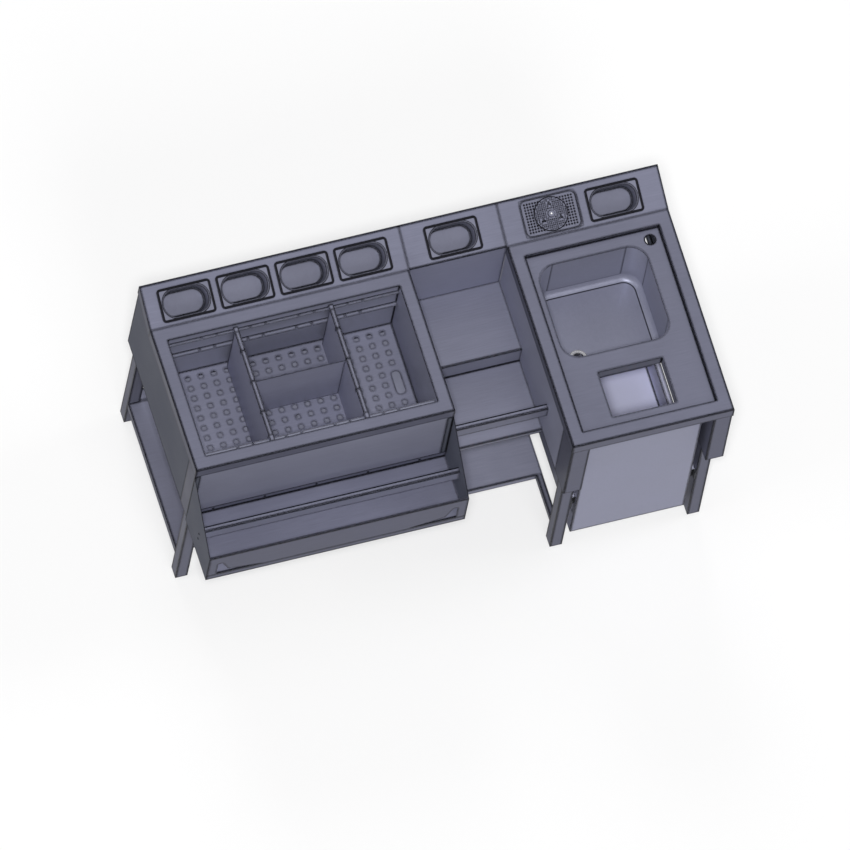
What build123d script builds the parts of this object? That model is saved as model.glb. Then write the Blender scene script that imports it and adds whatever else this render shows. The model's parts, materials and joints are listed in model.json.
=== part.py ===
"""Cocktail station in sheet steel: ice module with speed rail, bottle bay and sink module.

Millimetres, +Z up, front towards -Y, origin on the floor under the middle of the station.
"""
import os
from math import atan2, cos, hypot, pi, sin, tan

from build123d import *

os.makedirs("parts", exist_ok=True)

# Overall sizes
overall_depth = 850.0
worktop_height = 850.0
ice_length = 850.0
bay_length = 320.0
sink_length = 530.0
ice_depth = 500.0
ledge_depth = 135.0
ledge_rise = 50.0

# Sheet metal
sheet = 1.5
plate = 2.0
seat = 0.3
lip_drop = 45.0
rim = 45.0
fold_radius = 3.0
edge_radius = 1.2
apron_inset = 2.0
apron_drop = 345.0
flange_short = 2.0
ice_cover_width = 17.0
sink_cover_width = 60.0
ice_cover_depth = 63.0
sink_cover_depth = 88.0

# Legs, feet and rails
leg_size = 40.0
leg_inset = 20.0
ice_leg_setback = 21.0
sink_leg_setback = 47.0
tube_wall = 1.5
foot_height = 12.0
foot_diameter = 30.0
foot_plug = 20.0
rail_width = 20.0
upper_rail_height = 60.0
lower_rail_height = 25.0
shelf_height = 150.0
shelf_fold = 30.0
sink_upper_rail_top = 430.0

# Ice well
tank_depth = 320.0
insulation = 25.0
foam_top_gap = 9.0
tank_drain_bore = 24.0
tank_drain_wall = 3.0
tank_drain_boss = 1.5
tank_drain_tail = 60.0
floor_below_top = 265.0
floor_side_gap = 1.0
hole_diameter = 15.0
hole_pitch_x = 42.5
hole_pitch_y = 35.0
hole_columns = 17
hole_rows = 11
finger_slot_length = 80.0
finger_slot_width = 27.0
finger_slot_rows = 3
rail_upper_drop = 28.0
rail_mid_drop = 110.0
rail_flange = 20.0
rail_upper_reach = 12.0
rail_mid_reach = 16.0
rail_front_reach = 20.0
rail_slot = 3.0
rail_slot_start = 3.0
rail_slot_first = 112.0
rail_slot_pair = 50.0
rail_slot_pitch = 159.0
rail_slot_pairs = 4

# Ice dividers
divider_thickness = 16.0
divider_skin = 1.2
divider_first = 222.0
divider_second = 534.0
divider_rise = 16.0
divider_clearance = 2.0
tab_clearance = 1.0
slit_width = 3.0
slit_depth = 20.0
slit_first = 86.0
slit_pitch = 108.0
slit_count = 3
cross_tab_height = 8.0
cross_gap = 0.4

# Garnish pans
pan_length = 176.0
pan_width = 108.0
pan_corner = 12.0
pan_rim = 1.2
pan_wall = 1.0
pan_depth = 65.0
well_length = 146.0
well_width = 86.0
well_corner = 40.0
well_fillet = 8.0
well_roll = 8.0
pan_overlap = 4.0
pan_up_slope = 66.0
ice_pan_first = 136.0
ice_pan_last = 135.0
ice_pan_count = 4
sink_pan_place = 368.0

# Glass rinser
rinser_place = 162.0
rinser_up_slope = 69.0
rinser_length = 190.0
rinser_width = 122.0
rinser_flange_x = 6.0
rinser_flange_y = 4.0
rinser_corner = 6.0
rinser_big_corner = 25.0
tray_corner = 20.0
rinser_sheet = 1.2
rinser_depth = 30.0
rinser_cut_gap = 1.0
grille_drop = 4.0
grille_gap = 0.5
grille_hole = 5.0
grille_pitch = 9.0
grille_columns = 18
grille_rows = 11
grille_foot = 6.0
disc_diameter = 110.0
disc_rise = 2.5
disc_sheet = 1.5
disc_hub = 22.0
disc_hub_height = 7.0
disc_spots = 3
disc_spot_radius = 32.5
disc_spot_clear = 10.0
disc_jet = 4.6
disc_jet_radius = 4.2
disc_hole = 3.4
disc_hole_pitch = 6.0
disc_hole_steps = 8
disc_border = 4.0
stem_diameter = 10.0
stem_bore = 5.0
stem_length = 62.0
stem_gap = 0.4
stem_hole_gap = 2.0
valve_diameter = 34.0
valve_length = 42.0
inlet_diameter = 20.0
inlet_length = 22.0

# Speed rail
speed_bottom_drop = 355.0
speed_front_drop = 207.0
speed_rear_drop = 47.0
speed_floor_drop = 328.0
speed_side_flange = 18.0
speed_back_flange = 24.0
speed_hem = 8.0
speed_foot = 16.0
bar_flange = 18.0
bar_face = 50.0
speed_bar_drop = 200.0
speed_bar_from_back = 124.0
slot_inset = 32.0
slot_reach = 183.0
slot_knee = 69.0
slot_crest = 46.0
slot_sill = 4.0
slot_knee_rise = 19.0
slot_crest_rise = 70.0

# Bottle bay
shelf_one_drop = 253.0
shelf_two_drop = 330.0
shelf_one_depth = 243.0
shelf_two_depth = 247.0
shelf_lip = 20.0
bay_bar_drop = 163.0
bay_bar_setback = 480.0
undershelf_front = 480.0

# Sink module
field_drop = 12.0
bowl_length = 353.0
bowl_width = 326.0
bowl_corner = 60.0
bowl_from_left = 68.0
bowl_from_bend = 89.0
bowl_depth = 216.0
bowl_fillet = 25.0
drain_from_left = 157.0
drain_from_bend = 328.0
drain_bore = 38.0
drain_flange = 60.0
drain_tail = 46.0
drain_tail_length = 70.0
drain_rim = 1.2
drain_nut = 8.0
waste_length = 211.0
waste_width = 159.0
waste_from_left = 154.0
waste_from_bend = 480.0
chute_drop = 41.0
tap_hole = 32.0
tap_from_right = 84.0
tap_from_bend = 83.0

# Waste drawer
runner_bar = 5.0
runner_bar_height = 45.0
runner_space = 13.0
runner_height = 300.0
runner_section = 45.0
runner_sheet = 1.2
runner_play = 0.8
runner_lip = 11.0
runner_ball_gap = 2.4
drawer_front_depth = 12.0
drawer_fold = 40.0
drawer_front_bottom = 92.0
drawer_lip_gap = 2.0
drawer_depth = 430.0
drawer_bottom = 210.0
drawer_height = 115.0
drawer_flange = 16.0

# Places worked out from the sizes above
overall_length = ice_length + bay_length + sink_length
left = -overall_length / 2
ice_right = left + ice_length
sink_left = ice_right + bay_length
right = overall_length / 2
back = overall_depth / 2
front = -overall_depth / 2
bend = back - ledge_depth
ice_front = bend - ice_depth
top = worktop_height
under_top = top - sheet
apron_bottom = top - apron_drop
apron_top = under_top - seat
slope = atan2(ledge_rise, ledge_depth)
slope_length = hypot(ledge_depth, ledge_rise)
ledge_axis = Axis((0, 0, 0), (0, -sin(slope), cos(slope)))
panel_back = back - sheet - seat
panel_front = panel_back - sheet
ice_leg_rows = (ice_front + ice_leg_setback, back - leg_inset - leg_size)
sink_leg_rows = (front + sink_leg_setback, back - leg_inset - leg_size)
ice_leg_columns = (left + leg_inset, ice_right - leg_inset - leg_size)
sink_leg_columns = (sink_left + leg_inset, right - leg_inset - leg_size)


def block(x_span, y_span, z_span, mode=Mode.ADD):
    """Square-edged block between three pairs of limits, added to or cut from the part."""
    with Locations((sum(x_span) / 2, sum(y_span) / 2, sum(z_span) / 2)):
        Box(x_span[1] - x_span[0], y_span[1] - y_span[0], z_span[1] - z_span[0], mode=mode)


def save(builder, name):
    """Labels a finished piece and writes it to its own file."""
    builder.part.label = name
    export_step(builder.part, f"parts/{name}.step")


def ledge_plane(x, up_slope, above=0.0):
    """Plane lying on the sloped ledge, its own Y up the slope and its Z square to it."""
    y = bend + up_slope * cos(slope) - above * sin(slope)
    z = top + up_slope * sin(slope) + above * cos(slope)
    return Plane(origin=(x, y, z), x_dir=(1, 0, 0), z_dir=(0, -sin(slope), cos(slope)))


def ledge_under(y):
    """Height of the ledge sheet's underside at a given depth."""
    return top + (y - bend) * tan(slope) - sheet / cos(slope)


def side_frame(x_low, rows, leg_top, rails):
    """Two square legs with tube rails welded between them."""
    with BuildPart() as frame:
        for y_low in rows:
            block((x_low, x_low + leg_size), (y_low, y_low + leg_size), (foot_height, leg_top))
        for rail_x, rail_z in rails:
            y_span = (rows[0] + leg_size, rows[1])
            hollow_x = (rail_x[0] + tube_wall, rail_x[1] - tube_wall)
            hollow_z = (rail_z[0] + tube_wall, rail_z[1] - tube_wall)
            block(rail_x, y_span, rail_z)
            block(hollow_x, y_span, hollow_z, mode=Mode.SUBTRACT)
        for y_low in rows:
            hollow_x = (x_low + tube_wall, x_low + leg_size - tube_wall)
            hollow_y = (y_low + tube_wall, y_low + leg_size - tube_wall)
            block(hollow_x, hollow_y, (foot_height, leg_top - tube_wall), mode=Mode.SUBTRACT)
    return frame


def side_apron(x_span, y_low, flange_span):
    """Side sheet that follows the worktop and ledge, with a flange turned in at its foot."""
    y_high = panel_front - seat
    with BuildPart() as apron:
        with BuildSketch(Plane.YZ.offset(x_span[0])):
            with BuildLine():
                Polyline(
                    (y_low, apron_bottom),
                    (y_high, apron_bottom),
                    (y_high, ledge_under(y_high) - seat),
                    (bend, apron_top),
                    (y_low, apron_top),
                    close=True,
                )
            make_face()
        extrude(amount=x_span[1] - x_span[0])
        block(flange_span, (y_low, y_high), (apron_bottom, apron_bottom + sheet))
    return apron


def ledge_sheet(x_span, pan_places, end_lip_x=None, wall_bottom=None, rinser_x=None):
    """Sloped ledge with its rear fold, the pan openings and an end lip or back wall."""
    rear_top = top + ledge_rise
    wall_back = bend if wall_bottom is None else bend + sheet
    with BuildPart() as ledge:
        with BuildSketch(Plane.YZ.offset(x_span[0])):
            with BuildLine():
                corners = [
                    (bend, top),
                    (back, rear_top),
                    (back, rear_top - lip_drop),
                    (back - sheet, rear_top - lip_drop),
                    (back - sheet, ledge_under(back - sheet)),
                    (wall_back, ledge_under(wall_back)),
                ]
                if wall_bottom is not None:
                    corners += [(wall_back, wall_bottom), (bend, wall_bottom)]
                Polyline(*corners, close=True)
            make_face()
        extrude(amount=x_span[1] - x_span[0])
        if end_lip_x is not None:
            with BuildSketch(Plane.YZ.offset(end_lip_x)):
                with BuildLine():
                    Polyline(
                        (bend, top),
                        (back, rear_top),
                        (back, rear_top - lip_drop),
                        (bend, top - lip_drop),
                        close=True,
                    )
                make_face()
            extrude(amount=sheet)
        for x in pan_places:
            with BuildSketch(ledge_plane(x, pan_up_slope)):
                RectangleRounded(pan_length - 2 * pan_overlap, pan_width - 2 * pan_overlap, pan_corner)
            extrude(amount=2 * sheet, both=True, mode=Mode.SUBTRACT)
        if rinser_x is not None:
            with BuildSketch(ledge_plane(rinser_x, rinser_up_slope)):
                RectangleRounded(tray_length + 2 * rinser_cut_gap, tray_width + 2 * rinser_cut_gap, tray_corner)
            extrude(amount=2 * sheet, both=True, mode=Mode.SUBTRACT)
    return ledge


def garnish_pan(x):
    """Pan with a flat rim on the ledge, rolled over into a round-ended well below it."""
    inner_length = well_length - 2 * pan_wall
    inner_width = well_width - 2 * pan_wall
    with BuildPart() as hollow:
        with BuildSketch(ledge_plane(x, pan_up_slope, seat + pan_rim)):
            RectangleRounded(inner_length, inner_width, well_corner - pan_wall)
        extrude(amount=-(pan_depth - pan_wall))
        fillet(hollow.faces().sort_by(ledge_axis)[0].edges(), well_fillet - pan_wall)
    with BuildPart() as pan:
        with BuildSketch(ledge_plane(x, pan_up_slope, seat)):
            RectangleRounded(well_length, well_width, well_corner)
        extrude(amount=-(pan_depth - pan_rim))
        fillet(pan.faces().sort_by(ledge_axis)[0].edges(), well_fillet)
        with BuildSketch(ledge_plane(x, pan_up_slope, seat)):
            RectangleRounded(pan_length, pan_width, pan_corner)
        extrude(amount=pan_rim)
        underside = pan.faces().filter_by(ledge_axis).sort_by(ledge_axis)[-2]
        fillet(underside.inner_wires()[0].edges(), well_roll - pan_wall)
        add(hollow.part, mode=Mode.SUBTRACT)
        rim_face = pan.faces().filter_by(ledge_axis).sort_by(ledge_axis)[-1]
        fillet(rim_face.inner_wires()[0].edges(), well_roll)
    return pan


def round_worktop(worktop, x_span, y_span):
    """Rounds the folded outer edges of a worktop and eases the edges of its opening."""
    top_edges = worktop.edges().group_by(Axis.Z)[-1]
    across = top_edges.filter_by_position(Axis.X, x_span[0] + 1, x_span[1] - 1)
    opening_edges = across.filter_by_position(Axis.Y, y_span[0] + 1, y_span[1] - 1)
    fillet(opening_edges, edge_radius)
    top_edges = worktop.edges().group_by(Axis.Z)[-1]
    front_edge = top_edges.filter_by_position(Axis.Y, y_span[0] - 1, y_span[0] + 1)
    left_edge = top_edges.filter_by_position(Axis.X, x_span[0] - 1, x_span[0] + 1)
    right_edge = top_edges.filter_by_position(Axis.X, x_span[1] - 1, x_span[1] + 1)
    fillet(front_edge + left_edge + right_edge, fold_radius)


def inverted_angle(x_span, y_face, z_top):
    """Bottle bar: a flange on top turned back from a face that hangs in front."""
    with BuildPart() as bar:
        block(x_span, (y_face, y_face + bar_flange), (z_top - sheet, z_top))
        block(x_span, (y_face, y_face + sheet), (z_top - bar_face, z_top))
        fillet(bar.edges().filter_by(Axis.X).group_by(Axis.Z)[-1].sort_by(Axis.Y)[0], fold_radius)
    return bar


def ordered(start, sign, near, far):
    """Two limits measured from a start in one direction, smaller first."""
    ends = (start + sign * near, start + sign * far)
    return (min(ends), max(ends))


# Ice module: worktop with its opening and turned-down lips
opening_x = (left + rim, ice_right - rim)
opening_y = (ice_front + rim, bend - rim)
lip_z = (top - lip_drop, top)
with BuildPart() as ice_worktop:
    block((left, ice_right), (ice_front, bend), (under_top, top))
    block((left, left + sheet), (ice_front, bend), lip_z)
    block((ice_right - sheet, ice_right), (ice_front, bend), lip_z)
    block((left, ice_right), (ice_front, ice_front + sheet), lip_z)
    block(opening_x, opening_y, (under_top, top), mode=Mode.SUBTRACT)
    round_worktop(ice_worktop, (left, ice_right), (ice_front, bend))
save(ice_worktop, "ice_worktop")

# Garnish ledges and the pans that hang in them
tray_length = rinser_length - 2 * rinser_flange_x + 2 * rinser_sheet
tray_width = rinser_width - 2 * rinser_flange_y + 2 * rinser_sheet
rinser_x = sink_left + rinser_place
ice_pan_pitch = (ice_length - ice_pan_first - ice_pan_last) / (ice_pan_count - 1)
ice_pans = [left + ice_pan_first + ice_pan_pitch * step for step in range(ice_pan_count)]
bay_pan = (ice_right + sink_left) / 2
sink_pan = sink_left + sink_pan_place
bay_wall_bottom = top - shelf_one_drop + seat
ice_ledge = ledge_sheet((left, ice_right - seat), ice_pans, end_lip_x=left)
bay_ledge = ledge_sheet((ice_right + seat, sink_left - seat), [bay_pan], wall_bottom=bay_wall_bottom)
sink_ledge = ledge_sheet((sink_left + seat, right), [sink_pan], end_lip_x=right - sheet, rinser_x=rinser_x)
save(ice_ledge, "ice_ledge")
save(bay_ledge, "bay_ledge")
save(sink_ledge, "sink_ledge")
for number, x in enumerate(ice_pans + [bay_pan, sink_pan], start=1):
    save(garnish_pan(x), f"garnish_pan_{number}")

# Ice well: tank, insulation and drain
tank_x = (opening_x[0] - sheet, opening_x[1] + sheet)
tank_y = (opening_y[0] - sheet, opening_y[1] + sheet)
tank_floor = top - tank_depth
tank_middle = (sum(tank_x) / 2, sum(tank_y) / 2)
tank_under = tank_floor - sheet
with BuildPart() as ice_tank:
    block(tank_x, tank_y, (tank_under, under_top))
    block(opening_x, opening_y, (tank_floor, under_top), mode=Mode.SUBTRACT)
    with BuildSketch(Plane.XY.offset(tank_floor)):
        with Locations(tank_middle):
            Circle(tank_drain_bore / 2)
    extrude(amount=-sheet, mode=Mode.SUBTRACT)
save(ice_tank, "ice_tank")

drain_outer = tank_drain_bore / 2 + tank_drain_wall
drain_boss = drain_outer + tank_drain_boss
foam_bottom = apron_bottom + sheet + seat
foam_top = under_top - foam_top_gap
with BuildPart() as tank_insulation:
    block(
        (tank_x[0] - insulation, tank_x[1] + insulation),
        (tank_y[0] - insulation, tank_y[1] + insulation),
        (foam_bottom, foam_top),
    )
    block(
        (tank_x[0] - seat, tank_x[1] + seat),
        (tank_y[0] - seat, tank_y[1] + seat),
        (tank_under - seat, foam_top),
        mode=Mode.SUBTRACT,
    )
    with BuildSketch(Plane.XY.offset(tank_under)):
        with Locations(tank_middle):
            Circle(drain_boss + 2 * seat)
    extrude(amount=foam_bottom - tank_under, mode=Mode.SUBTRACT)
save(tank_insulation, "tank_insulation")

with BuildPart() as ice_drain:
    with BuildSketch(Plane.XY.offset(tank_under)):
        with Locations(tank_middle):
            Circle(drain_boss)
    extrude(amount=foam_bottom - tank_under)
    with BuildSketch(Plane.XY.offset(foam_bottom)):
        with Locations(tank_middle):
            Circle(drain_outer)
    extrude(amount=-tank_drain_tail)
    with BuildSketch(Plane.XY.offset(tank_under)):
        with Locations(tank_middle):
            Circle(tank_drain_bore / 2)
    extrude(amount=-2 * tank_drain_tail, mode=Mode.SUBTRACT)
save(ice_drain, "ice_drain")

# Slotted rails on the tank walls
rail_x = (opening_x[0] + seat, opening_x[1] - seat)
rear_wall = opening_y[1] - seat
front_wall = opening_y[0] + seat
upper_z = top - rail_upper_drop
mid_z = top - rail_mid_drop
slot_xs = []
for pair in range(rail_slot_pairs):
    slot_xs.append(opening_x[0] + rail_slot_first + pair * rail_slot_pitch)
    slot_xs.append(opening_x[0] + rail_slot_first + pair * rail_slot_pitch + rail_slot_pair)
with BuildPart() as tank_rails:
    for wall, inward, z, reach in (
        (rear_wall, -1, upper_z, rail_upper_reach),
        (rear_wall, -1, mid_z, rail_mid_reach),
        (front_wall, 1, upper_z, rail_front_reach),
    ):
        block(rail_x, ordered(wall, inward, 0.0, reach), (z - sheet, z))
        block(rail_x, ordered(wall, inward, 0.0, sheet), (z - rail_flange, z))
        for x in slot_xs:
            slot_span = (x - rail_slot / 2, x + rail_slot / 2)
            block(slot_span, ordered(wall, inward, rail_slot_start, reach), (z - sheet, z), mode=Mode.SUBTRACT)
save(tank_rails, "tank_rails")

# False floor with drain holes and a finger slot at each end
floor_top = top - floor_below_top
floor_x = (opening_x[0] + floor_side_gap, opening_x[1] - floor_side_gap)
floor_y = (opening_y[0] + floor_side_gap, opening_y[1] - floor_side_gap)
slot_column = (hole_columns - 1) / 2 * hole_pitch_x
with BuildPart() as false_floor:
    block(floor_x, floor_y, (tank_floor + seat, floor_top))
    block(
        (floor_x[0] + sheet, floor_x[1] - sheet),
        (floor_y[0] + sheet, floor_y[1] - sheet),
        (tank_floor + seat, floor_top - sheet),
        mode=Mode.SUBTRACT,
    )
    with BuildSketch(Plane.XY.offset(floor_top)):
        with Locations(tank_middle):
            with GridLocations(hole_pitch_x, hole_pitch_y, hole_columns - 2, hole_rows):
                Circle(hole_diameter / 2)
            edge_rows = (hole_rows - finger_slot_rows) // 2
            band = (edge_rows + finger_slot_rows) * hole_pitch_y / 2
            for side in (-slot_column, slot_column):
                for offset_y in (-band, band):
                    with Locations((side, offset_y)):
                        with GridLocations(hole_pitch_x, hole_pitch_y, 1, edge_rows):
                            Circle(hole_diameter / 2)
                with Locations((side, 0.0)):
                    SlotOverall(finger_slot_length, finger_slot_width, rotation=90)
    extrude(amount=-sheet, mode=Mode.SUBTRACT)
save(false_floor, "false_floor")

# Long dividers hang on the upper rails, the cross divider drops into their slits
divider_top = upper_z + divider_rise
divider_low = front_wall + rail_front_reach + divider_clearance
divider_high = rear_wall - rail_mid_reach - divider_clearance
tab_low = front_wall + sheet + tab_clearance
tab_high = rear_wall - sheet - tab_clearance
divider_foot = floor_top + seat
slit_ys = [opening_y[1] - slit_first - slit_pitch * step for step in range(slit_count)]
divider_centres = (opening_x[0] + divider_first, opening_x[0] + divider_second)
for side, centre in zip(("left", "right"), divider_centres):
    half = divider_thickness / 2
    with BuildPart() as divider:
        block((centre - half, centre + half), (divider_low, divider_high), (divider_foot, divider_top))
        block((centre - half, centre + half), (tab_low, tab_high), (upper_z + seat, divider_top))
        block(
            (centre - half + divider_skin, centre + half - divider_skin),
            (divider_low + divider_skin, divider_high - divider_skin),
            (divider_foot, divider_top - divider_skin),
            mode=Mode.SUBTRACT,
        )
        for y in slit_ys:
            slit_span = (y - slit_width / 2, y + slit_width / 2)
            slit_z = (divider_top - slit_depth, divider_top)
            block((centre - half, centre + half), slit_span, slit_z, mode=Mode.SUBTRACT)
    save(divider, f"divider_{side}")

cross_low = divider_centres[0] + divider_thickness / 2 + cross_gap
cross_high = divider_centres[1] - divider_thickness / 2 - cross_gap
cross_y = slit_ys[1]
cross_span = (cross_y - sheet / 2, cross_y + sheet / 2)
tab_z = (divider_top - slit_depth + cross_gap, divider_top - slit_depth + cross_gap + cross_tab_height)
with BuildPart() as cross_divider:
    block((cross_low, cross_high), cross_span, (divider_foot + cross_gap, tab_z[1]))
    block((divider_centres[0], divider_centres[1]), cross_span, tab_z)
save(cross_divider, "cross_divider")

# Ice module aprons and front corner covers
ice_inner_front = ice_front + apron_inset
cover_back = ice_inner_front + ice_cover_depth
flange_reach = leg_inset - apron_inset + rail_width - flange_short
for side, edge, sign in (("left", left, 1), ("right", ice_right, -1)):
    skin = ordered(edge, sign, apron_inset, apron_inset + sheet)
    flange = ordered(edge, sign, apron_inset, apron_inset + flange_reach)
    save(side_apron(skin, cover_back + seat, flange), f"ice_apron_{side}")
    cover_x = ordered(edge, sign, apron_inset, apron_inset + ice_cover_width)
    with BuildPart() as cover:
        block(skin, (ice_inner_front, cover_back), (apron_bottom, apron_top))
        block(cover_x, (ice_inner_front, ice_inner_front + sheet), (apron_bottom, apron_top))
        block(cover_x, (ice_inner_front, cover_back), (apron_bottom, apron_bottom + sheet))
        corner = cover.edges().filter_by(Axis.Z).sort_by(Axis.Y)
        outer_corner = corner.filter_by_position(Axis.Y, ice_inner_front - 0.1, ice_inner_front + 0.1)
        fillet(outer_corner.sort_by(Axis.X)[0 if sign > 0 else -1], fold_radius)
    save(cover, f"ice_corner_cover_{side}")

front_inset = apron_inset + ice_cover_width + seat
front_x = (left + front_inset, ice_right - front_inset)
with BuildPart() as ice_front_apron:
    block(front_x, (ice_inner_front, ice_inner_front + sheet), (apron_bottom, apron_top))
    block(front_x, (ice_inner_front, ice_inner_front + flange_reach), (apron_bottom, apron_bottom + sheet))
save(ice_front_apron, "ice_front_apron")

with BuildPart() as back_panel:
    panel_top = ledge_under(panel_front) - seat
    block((left + apron_inset, right - apron_inset), (panel_front, panel_back), (apron_bottom, panel_top))
save(back_panel, "back_panel")

# Ice module frame
ice_rail_z = (apron_bottom - upper_rail_height, apron_bottom)
ice_left_rail = (ice_leg_columns[0], ice_leg_columns[0] + rail_width)
ice_right_rail = (ice_leg_columns[1] + leg_size - rail_width, ice_leg_columns[1] + leg_size)
ice_frame_left = side_frame(ice_leg_columns[0], ice_leg_rows, apron_bottom, [(ice_left_rail, ice_rail_z)])
ice_frame_right = side_frame(ice_leg_columns[1], ice_leg_rows, apron_bottom, [(ice_right_rail, ice_rail_z)])
save(ice_frame_left, "ice_frame_left")
save(ice_frame_right, "ice_frame_right")

cross_x = (ice_leg_columns[0] + leg_size, ice_leg_columns[1])
cross_hollow_z = (ice_rail_z[0] + tube_wall, ice_rail_z[1] - tube_wall)
with BuildPart() as ice_cross_rails:
    for y_low in (ice_leg_rows[0], ice_leg_rows[1] + leg_size - rail_width):
        y_span = (y_low, y_low + rail_width)
        block(cross_x, y_span, ice_rail_z)
        block(cross_x, (y_span[0] + tube_wall, y_span[1] - tube_wall), cross_hollow_z, mode=Mode.SUBTRACT)
save(ice_cross_rails, "ice_cross_rails")

ice_shelf_x = (ice_leg_columns[0], ice_leg_columns[1] + leg_size)
ice_shelf_y = (ice_leg_rows[0] + leg_size, ice_leg_rows[1])
tongue_x = (ice_leg_columns[0] + leg_size + seat, ice_leg_columns[1] - seat)
tongue_y = (ice_leg_rows[1] - sheet, ice_leg_rows[1] + leg_size)
with BuildPart() as ice_undershelf:
    block(ice_shelf_x, ice_shelf_y, (shelf_height - shelf_fold, shelf_height))
    block(
        (ice_shelf_x[0] + sheet, ice_shelf_x[1] - sheet),
        (ice_shelf_y[0] + sheet, ice_shelf_y[1] - sheet),
        (shelf_height - shelf_fold, shelf_height - sheet),
        mode=Mode.SUBTRACT,
    )
    block(tongue_x, tongue_y, (shelf_height - sheet, shelf_height))
    block(tongue_x, (tongue_y[1] - sheet, tongue_y[1]), (shelf_height - shelf_fold, shelf_height))
save(ice_undershelf, "ice_undershelf")

# Speed rail on the front of the ice module
speed_back = ice_inner_front - seat
speed_x = (left + plate + seat, ice_right - plate - seat)
speed_bottom = top - speed_bottom_drop
speed_front_top = top - speed_front_drop
speed_rear_top = top - speed_rear_drop
speed_floor = top - speed_floor_drop
side_flange_z = (speed_floor + speed_back_flange + plate, speed_rear_top - plate)
for side, edge, sign in (("left", left, 1), ("right", ice_right, -1)):
    side_x = ordered(edge, sign, 0.0, plate)
    side_flange_x = ordered(edge, sign, 0.0, plate + speed_side_flange)
    with BuildPart() as speed_side:
        with BuildSketch(Plane.YZ.offset(side_x[0])):
            with BuildLine():
                Polyline(
                    (speed_back, speed_bottom),
                    (front, speed_bottom),
                    (front, speed_front_top),
                    (speed_back, speed_rear_top),
                    close=True,
                )
            make_face()
        extrude(amount=plate)
        block(side_flange_x, (speed_back - plate, speed_back), side_flange_z)
    save(speed_side, f"speed_rail_side_{side}")

with BuildPart() as speed_rail_tray:
    block(speed_x, (front, speed_back), (speed_floor - sheet, speed_floor))
    block(speed_x, (speed_back - sheet, speed_back), (speed_floor - sheet, speed_floor + speed_back_flange))
    block(speed_x, (front, front + sheet), (speed_bottom, speed_front_top))
    block(speed_x, (front, front + speed_hem), (speed_front_top - sheet, speed_front_top))
    block(speed_x, (front, front + speed_foot), (speed_bottom, speed_bottom + sheet))
    slot_floor = speed_floor + slot_sill
    for edge, sign in ((left, 1), (ice_right, -1)):
        with BuildSketch(Plane.XZ.offset(-front)):
            with BuildLine():
                Polyline(
                    (edge + sign * slot_inset, slot_floor),
                    (edge + sign * slot_reach, slot_floor),
                    (edge + sign * slot_knee, slot_floor + slot_knee_rise),
                    (edge + sign * slot_crest, slot_floor + slot_crest_rise),
                    (edge + sign * slot_inset, slot_floor + slot_crest_rise),
                    close=True,
                )
            make_face()
        extrude(amount=-sheet, mode=Mode.SUBTRACT)
save(speed_rail_tray, "speed_rail_tray")

speed_bar = inverted_angle(speed_x, speed_back - speed_bar_from_back, top - speed_bar_drop)
save(speed_bar, "speed_rail_bar")

# Bottle bay: stepped shelf, bottle bar and undershelf
bay_x = (ice_right - apron_inset + seat, sink_left + apron_inset - seat)
shelf_one = top - shelf_one_drop
shelf_two = top - shelf_two_drop
step_y = bend - shelf_one_depth
lip_y = step_y - shelf_two_depth
with BuildPart() as stepped_shelf:
    block(bay_x, (step_y, bend + sheet), (shelf_one - sheet, shelf_one))
    block(bay_x, (step_y, step_y + sheet), (shelf_two - sheet, shelf_one))
    block(bay_x, (lip_y, step_y + sheet), (shelf_two - sheet, shelf_two))
    block(bay_x, (lip_y, lip_y + sheet), (shelf_two - shelf_lip, shelf_two))
    across = stepped_shelf.edges().filter_by(Axis.X)
    fillet(across.group_by(Axis.Z)[-1].sort_by(Axis.Y)[0], fold_radius)
save(stepped_shelf, "stepped_shelf")

bay_bar = inverted_angle(bay_x, bend - bay_bar_setback - bar_flange, top - bay_bar_drop)
save(bay_bar, "bay_bar")

bay_shelf_x = (ice_leg_columns[1] + leg_size + seat, sink_leg_columns[0] + rail_width)
bay_shelf_y = (bend - undershelf_front, ice_leg_rows[1] - seat)
bay_fold_x = (bay_shelf_x[0], sink_leg_columns[0] - seat)
bay_fold_z = (shelf_height - lower_rail_height, shelf_height + sheet)
with BuildPart() as bay_undershelf:
    block(bay_shelf_x, bay_shelf_y, (shelf_height, shelf_height + sheet))
    block(bay_fold_x, (bay_shelf_y[0], bay_shelf_y[0] + sheet), bay_fold_z)
    block(bay_fold_x, (bay_shelf_y[1] - sheet, bay_shelf_y[1]), bay_fold_z)
    block((bay_shelf_x[0], bay_shelf_x[0] + sheet), bay_shelf_y, bay_fold_z)
save(bay_undershelf, "bay_undershelf")

# Sink module: worktop rim, and the recessed field that hangs in it
field_top = top - field_drop
under_field = field_top - sheet
field_x = (sink_left + rim, right - rim)
field_y = (front + rim, bend - rim)
bowl_x = sink_left + bowl_from_left + bowl_length / 2
bowl_y = bend - bowl_from_bend - bowl_width / 2
waste_x = sink_left + waste_from_left + waste_length / 2
waste_y = bend - waste_from_bend - waste_width / 2
tap_x = right - tap_from_right
tap_y = bend - tap_from_bend
with BuildPart() as sink_worktop:
    block((sink_left, right), (front, bend), (under_top, top))
    block((sink_left, sink_left + sheet), (front, bend), lip_z)
    block((right - sheet, right), (front, bend), lip_z)
    block((sink_left, right), (front, front + sheet), lip_z)
    block(field_x, field_y, (under_top, top), mode=Mode.SUBTRACT)
    round_worktop(sink_worktop, (sink_left, right), (front, bend))
save(sink_worktop, "sink_worktop")

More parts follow.
